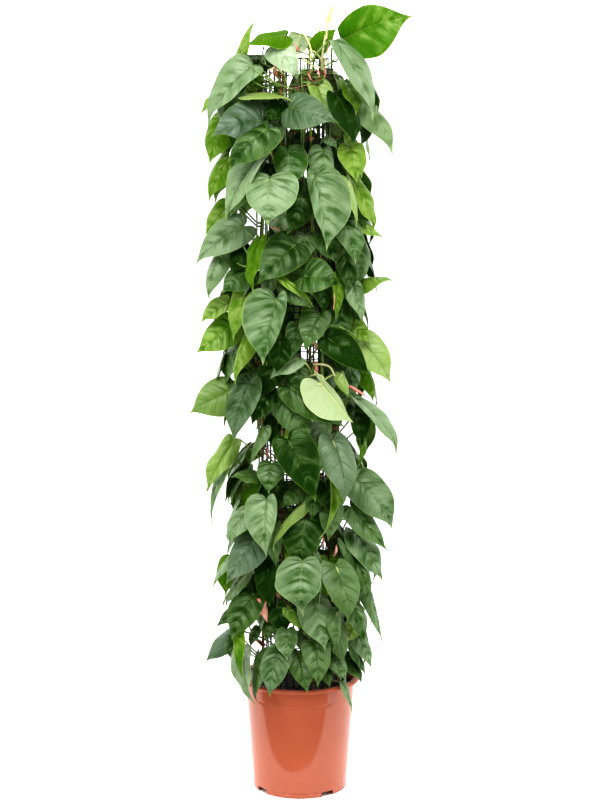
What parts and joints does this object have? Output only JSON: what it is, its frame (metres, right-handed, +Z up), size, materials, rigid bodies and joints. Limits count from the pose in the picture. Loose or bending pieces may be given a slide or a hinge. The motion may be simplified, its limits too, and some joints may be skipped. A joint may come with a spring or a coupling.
{
  "type": "potted philodendron",
  "caption": "Heartleaf philodendron trained up a tall plastic mesh column, standing in a round terracotta-coloured plastic nursery pot with potting soil.",
  "frame": {"origin": "on the ground under the pot's axis", "axes": "+Z up along the pot's axis, -Y towards the front, +X to the right as seen from the front"},
  "size_m": [0.4261, 0.383, 1.5361],
  "materials": {
    "pot_plastic": "glossy terracotta-coloured moulded plastic",
    "soil": "matt, moist peat and bark potting soil",
    "column_plastic": "dark green plastic mesh",
    "stem_bark": "olive green living stem",
    "leaf_dark": "dark green satin leaf skin",
    "leaf_grey": "grey-green satin leaf skin",
    "leaf_bright": "yellow-green satin leaf skin"
  },
  "bodies": {
    "root": {"pot": "pot_plastic", "soil": "soil", "mesh_column": "column_plastic", "stem_front_left": "stem_bark", "stem_front_right": "stem_bark", "stem_right": "stem_bark", "stem_back_right": "stem_bark", "stem_back_left": "stem_bark", "stem_left": "stem_bark", "leaf_01": "leaf_bright", "leaf_02": "leaf_grey", "leaf_03": "leaf_grey", "leaf_04": "leaf_dark", "leaf_05": "leaf_dark", "leaf_06": "leaf_dark", "leaf_07": "leaf_grey", "leaf_08": "leaf_grey", "leaf_09": "leaf_grey", "leaf_10": "leaf_grey", "leaf_11": "leaf_grey", "leaf_12": "leaf_grey", "leaf_13": "leaf_dark", "leaf_14": "leaf_dark", "leaf_15": "leaf_bright", "leaf_16": "leaf_bright", "leaf_17": "leaf_grey", "leaf_18": "leaf_bright", "leaf_19": "leaf_dark", "leaf_20": "leaf_bright", "leaf_21": "leaf_dark", "leaf_22": "leaf_bright", "leaf_23": "leaf_dark", "leaf_24": "leaf_dark", "leaf_25": "leaf_grey", "leaf_26": "leaf_bright", "leaf_27": "leaf_grey", "leaf_28": "leaf_dark", "leaf_29": "leaf_grey", "leaf_30": "leaf_grey", "leaf_31": "leaf_dark", "leaf_32": "leaf_grey", "leaf_33": "leaf_dark", "leaf_34": "leaf_dark", "leaf_35": "leaf_grey", "leaf_36": "leaf_dark", "leaf_37": "leaf_bright", "leaf_38": "leaf_grey", "leaf_39": "leaf_dark", "leaf_40": "leaf_grey", "leaf_41": "leaf_bright", "leaf_42": "leaf_dark", "leaf_43": "leaf_grey", "leaf_44": "leaf_bright", "leaf_45": "leaf_dark", "leaf_46": "leaf_grey", "leaf_47": "leaf_bright", "leaf_48": "leaf_dark", "leaf_49": "leaf_grey", "leaf_50": "leaf_bright", "leaf_51": "leaf_dark"}
  },
  "joints": []
}
